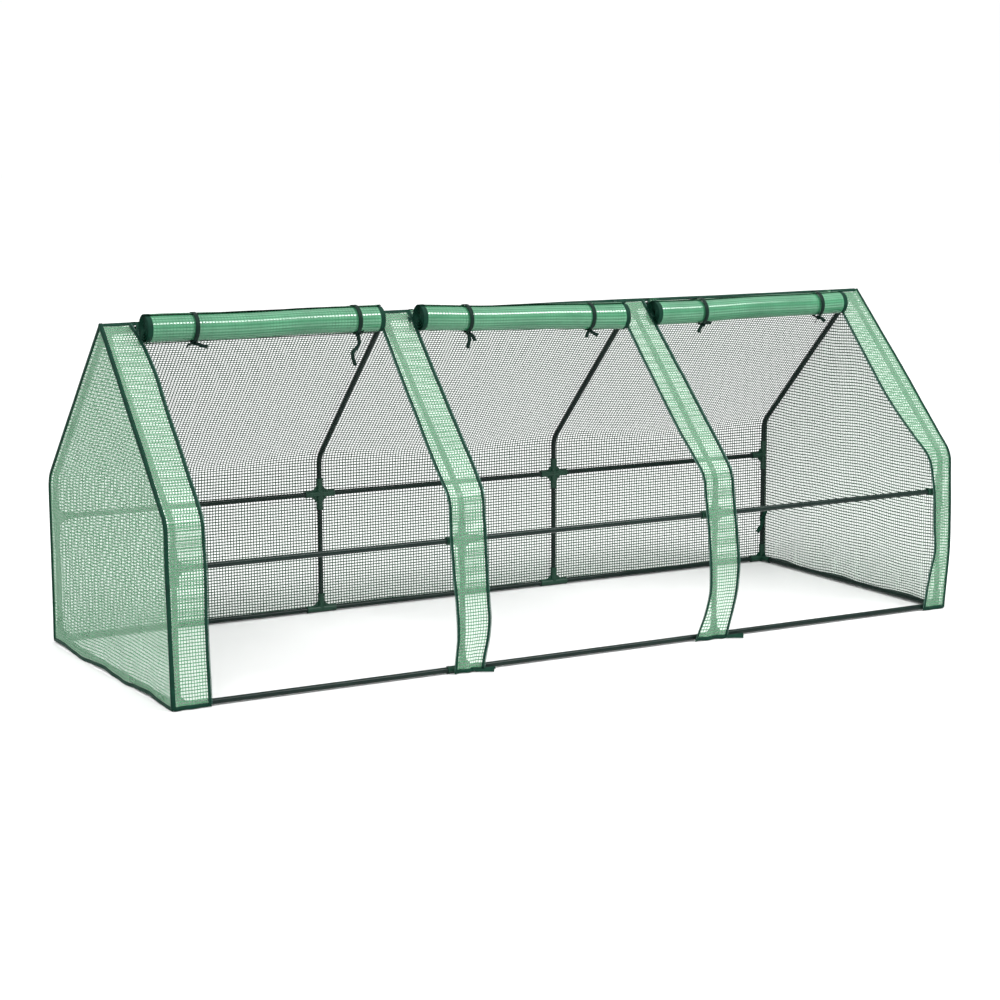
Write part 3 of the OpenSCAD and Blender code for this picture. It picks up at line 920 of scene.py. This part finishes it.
def build_roll(n, mats):
    """The rolled door: a spiral of the whole cloth, yarns on its outer turn and a bound edge at each end."""
    low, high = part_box(f"door_{n}_roll")
    x0, x1 = low[0] + ROLL_INSET[n - 1][0], high[0] - ROLL_INSET[n - 1][1]
    swell_left, swell_right = ROLL_SWELL[n - 1]
    mean_r = SPIRAL_R + (swell_left + swell_right) / 2
    gain = math.pi * (mean_r**2 - ROLL_CORE**2) / CLOTH_LENGTH  # how far out one turn lies from the last
    turns = (mean_r - ROLL_CORE) / gain
    start_angle = math.radians(100)

    def surface(x, q):
        """q is the angle wound inwards from the outer edge."""
        t = (x - x0) / (x1 - x0)
        r = SPIRAL_R - gain * q / (2 * math.pi)
        r = r + swell_left + (swell_right - swell_left) * t
        outer = np.exp(-q / 3)
        r = r + outer * 1.1 * MM * ripple(x, q * 0.03, 80 + n, 6, 0.06, 0.5)
        angle = start_angle - q + 0.25 * np.sin(math.pi * t * 2 + n) * outer * 0.5
        y = ROLL_Y + r * np.cos(angle)
        z = roll_height(n, x) + r * np.sin(angle) * (1 + 0.03 * np.sin(5 * t + n))
        return np.stack(np.broadcast_arrays(x, y, z), -1)

    wound = 2 * math.pi * turns
    q = np.linspace(0, wound, int(turns * 26))
    x = np.linspace(x0, x1, 60)
    xx, qq = grid(x, q)
    cloth = add_mesh(f"door_{n}_rolled_cloth", surface(xx, qq), grid_faces(len(x), len(q)),
                     [mats["roll_film"]], uvs=np.stack((xx, qq * ROLL_R), -1))
    outer = 2 * math.pi * 1.04  # the outer turn and a little more
    step = WEFT_PITCH / ROLL_R
    rings = lengthways(spaced(x0, x1, WARP_PITCH), np.linspace(0, outer, 30), WARP_W / 2)
    levels = crossways(np.arange(step / 2, outer, step), np.linspace(x0, x1, 48), WARP_W / 2 / ROLL_R)
    net = build_yarns(f"door_{n}_roll_yarns", surface, [rings, levels], mats["roll_yarns"], -1)
    rng = np.random.default_rng(n)
    bands = []
    for x_end, way in ((x0, -1), (x1, 1)):
        jitter = np.cumsum(rng.uniform(-1, 1, len(q))) * 0.12 * MM
        jitter = np.clip(jitter, -2.5 * MM, 2.5 * MM)
        line = surface(np.full_like(q, x_end), q)
        line[:, 0] += way * (2 * MM + 2 * MM * np.sin(q * 0.5) + jitter)
        bands.append(band(line, (1, 0, 0), 14 * MM, 1.3 * MM))
    edges = add_bands(f"door_{n}_roll_edges", bands, mats["tape"])
    for piece, slot in ((cloth, "door_cloth"), (net, "door_cloth"), (edges, "binding_tape")):
        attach(piece, f"door_{n}_lower")
        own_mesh(piece)
    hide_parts(f"door_{n}_roll", f"door_{n}_wrap")
    return cloth, net, edges


# ---- ties ----

TIE_X = (-0.98, -0.52, -0.18, 0.22, 0.60, 1.02)  # where part.scad hangs the ribbons
TIE_LEAN = (-6, 4, 3, -5, 4, 5)  # how far each ribbon's foot lies from its top, in millimetres
TIE_TAILS = [  # free ends of each ribbon: (x, y, z) from the knot, in millimetres
    ([(0, 0, 0), (-12, -4, -2), (-24, -6, -9)], [(0, 0, 0), (16, -5, -7), (34, -8, -12)]),
    ([(0, 0, 0), (2, -2, -26), (-16, 0, -52), (-8, 2, -84)], [(0, 0, 0), (10, -6, 10), (16, -6, 22)]),
    ([(0, 0, 0), (1, -3, -18), (-4, -2, -42)], [(0, 0, 0), (12, -5, -10), (16, -6, -22)]),
    ([(0, 0, 0), (-10, -6, -6), (-14, -8, -18)], [(0, 0, 0), (12, -6, -8), (22, -8, -14)]),
    ([(0, 0, 0), (-14, -6, -10), (-18, -6, -22)], [(0, 0, 0), (14, -4, 6), (26, -6, 4)]),
    ([(0, 0, 0), (10, -5, -4), (20, -6, -14)], [(0, 0, 0), (-10, -5, -5), (-18, -7, -16)]),
]
RIBBON_T = 1.1 * MM


def knot_bands(centre, width, size=7 * MM):
    """A small overhand knot: two short turns of ribbon crossing over each other."""
    bands = []
    for tilt in (-0.5, 0.6):
        angle = np.linspace(0, 2 * math.pi * 0.96, 20)
        x = np.cos(angle) * size * 0.8
        z = np.sin(angle) * size * 0.62
        line = np.stack((x * math.cos(tilt) - z * math.sin(tilt), 1.5 * MM * np.cos(2 * angle) - 1 * MM,
                         x * math.sin(tilt) + z * math.cos(tilt)), -1) + centre
        bands.append(band(line, (0, 1, 0), width * 0.62, RIBBON_T * 1.6))
    return bands


def build_ties(n, mats):
    """Two ribbons round a door's roll, each knotted below it with its tails loose."""
    bands = []
    apex = np.array((0, -2 * MM, APEX_Z - 2 * MM))
    radius = SPIRAL_R + 2.2 * MM
    for k in (2 * n - 2, 2 * n - 1):
        x = TIE_X[k]
        lean = TIE_LEAN[k] * MM
        angles = np.radians(np.linspace(62, 268, 26))
        centre_z = float(roll_height(n, x))
        ring = [(x + lean * i / 25, ROLL_Y + radius * math.cos(a), centre_z + radius * math.sin(a))
                for i, a in enumerate(angles)]
        ring_end = np.array(ring[-1])
        loop = [(x, apex[1], apex[2]), (x, -20 * MM, max(APEX_Z - 8 * MM, centre_z + 32 * MM))] + ring
        loop += [(x + lean, ROLL_Y + 26 * MM, centre_z - 29 * MM), (x, -14 * MM, centre_z - 4 * MM),
                 (x, -5 * MM, RIDGE_Z)]
        bands.append(band(smooth_line(loop), (1, 0, 0), 12 * MM, RIBBON_T))
        knot = ring_end + (2 * MM, -9 * MM, -1 * MM)
        bands += knot_bands(knot, 12 * MM)
        for tail in TIE_TAILS[k]:
            line = smooth_line(np.array(tail) * MM + knot)
            lies_level = abs(tail[-1][0]) > abs(tail[-1][2])
            side = (0.35, -0.4, 0.85) if lies_level else (0.87, -0.49, 0)
            bands.append(band(line, side, 10 * MM, RIBBON_T))
    piece = add_bands(f"door_{n}_ribbons", bands, mats["ribbon"])
    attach(piece, "greenhouse")
    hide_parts(f"door_{n}_ties")
    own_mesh(piece)
    return piece


def build_base_ties(mats):
    """Ribbons at the feet of the two middle strips and on the rear right post."""
    bands = []
    angles = np.radians(np.linspace(-80, 250, 20))
    r = TUBE_R + 1 * MM
    for hoop in (1, 2):
        x = HOOPS[hoop] + 16 * MM
        y = -HALF
        ring = [(x, y + r * math.cos(a), BASE_Z + r * math.sin(a)) for a in angles]
        bands.append(band(smooth_line(ring, 4 * MM), (1, 0, 0), 10 * MM, RIBBON_T))
        knot = np.array((x, y - r - 6 * MM, 9 * MM))
        bands += knot_bands(knot, 9 * MM, 6 * MM)
        low = 6 * MM
        for tail in ([(0, 0), (20, -5), (44, -7), (72, -4)], [(0, 0), (16, -10), (34, -22), (52, -34)]):
            line = [(x + dx * MM, knot[1] + dy * MM, knot[2] if i == 0 else low)
                    for i, (dx, dy) in enumerate(tail)]
            bands.append(band(smooth_line(line), (0, 0.5, 0.85), 8 * MM, RIBBON_T))
    centre = np.array((HOOPS[3], HALF, MID_Z * 0.4))
    ring = [centre + (r * math.cos(a), r * math.sin(a), 4 * MM * math.sin(a)) for a in angles]
    bands.append(band(smooth_line(ring, 4 * MM), (0, 0, 1), 10 * MM, RIBBON_T))
    knot = centre + (-7 * MM, -10 * MM, 2 * MM)
    bands += knot_bands(knot, 9 * MM, 7 * MM)
    for tail in ([(0, 0, 0), (4, -8, 18), (12, -8, 40)], [(0, 0, 0), (-8, -8, -18), (-26, -8, -42)]):
        bands.append(band(smooth_line(np.array(tail) * MM + knot), (0.87, -0.49, 0), 12 * MM, RIBBON_T))
    piece = add_bands("base_ribbons", bands, mats["tape"])
    return fixed(piece, "tie_ribbon", "base_ties")


# ---- the scene ----


def paint_frame(tube_mat, plastic_mat, slider_mat):
    for name, node in frame["nodes"].items():
        if name.endswith("connectors"):
            mat = plastic_mat
        elif name.endswith("zip_sliders"):
            mat = slider_mat
        else:
            mat = tube_mat
        for slot in node.material_slots:
            slot.link = "OBJECT"
            slot.material = mat


add_camera()
add_studio()

outer_yarn = yarn("outer_yarn", (0.055, 0.23, 0.11), (0.04, 0.175, 0.08))
# The yarn's flat inner face is a darker copy of the same yarn: painted shade, standing in for the inside of
# the cover lying in shade with the light behind it.
painted_shade_yarn = yarn("painted_shade_yarn", (0.03, 0.078, 0.047), (0.02, 0.056, 0.033), 0.6)
rolled_yarn = yarn("rolled_yarn", (0.045, 0.19, 0.095), (0.03, 0.14, 0.07), 0.3)
MATS = {
    # The three films are one polythene in three copies whose colour and see-through differ to stand in for
    # light: the front strips' copy is painted lighter, brighter mint where the lamps fall on it, the rear
    # copy, seen from inside in shade, is painted greyer and almost clear, and the ends' copy lies between
    # them.
    "rear_film": clear_film("rear_film", 0.12, (0.5, 0.62, 0.53), (0.4, 0.54, 0.43), 0.4, 0.05),
    "end_film": clear_film("end_film", 0.38, (0.5, 0.68, 0.54), (0.38, 0.58, 0.42), 0.36, 0.1),
    "strip_film": clear_film("strip_film", 0.27, (0.55, 0.78, 0.6), (0.42, 0.66, 0.48), 0.26, 0.5),
    "roll_film": clear_film("rolled_film", 1.0, (0.07, 0.27, 0.14), (0.035, 0.17, 0.085), 0.24, 1.0),
    "yarns": [outer_yarn, painted_shade_yarn],
    "roll_yarns": [rolled_yarn, rolled_yarn],
    "tape": woven_tape("binding_weave", (0.002, 0.045, 0.025), (0.001, 0.024, 0.014)),
    "ribbon": woven_tape("ribbon_weave", (0.002, 0.022, 0.014), (0.001, 0.012, 0.008), 0.5),
    "teeth": enamelled_metal(),
}
paint_frame(powder_coat(), moulded_plastic(), MATS["teeth"])

rear_film, rear_net = build_rear(MATS)
left_film, left_net, left_surface = build_end(-1, MATS)
right_film, right_net, right_surface = build_end(1, MATS)
strip_pieces = [build_strip(n, MATS) for n in (1, 2, 3, 4)]
strip_surfaces = [s for _, _, s in strip_pieces]
binding = build_bindings((left_surface, right_surface), strip_surfaces, MATS)
zips = build_zips(strip_surfaces, MATS)
base_ribbons = build_base_ties(MATS)

for n, (film, net, _) in enumerate(strip_pieces, 1):
    left, right = strip_surfaces[n - 1].edges
    places = np.linspace(0, CUT, 200)
    mean_width = float(np.mean(right(places) - left(places)))
for n in (1, 2, 3):
    cloth, net, edges = build_roll(n, MATS)
    panels = build_door_panels(n, strip_surfaces, MATS)
    ribbons = build_ties(n, MATS)
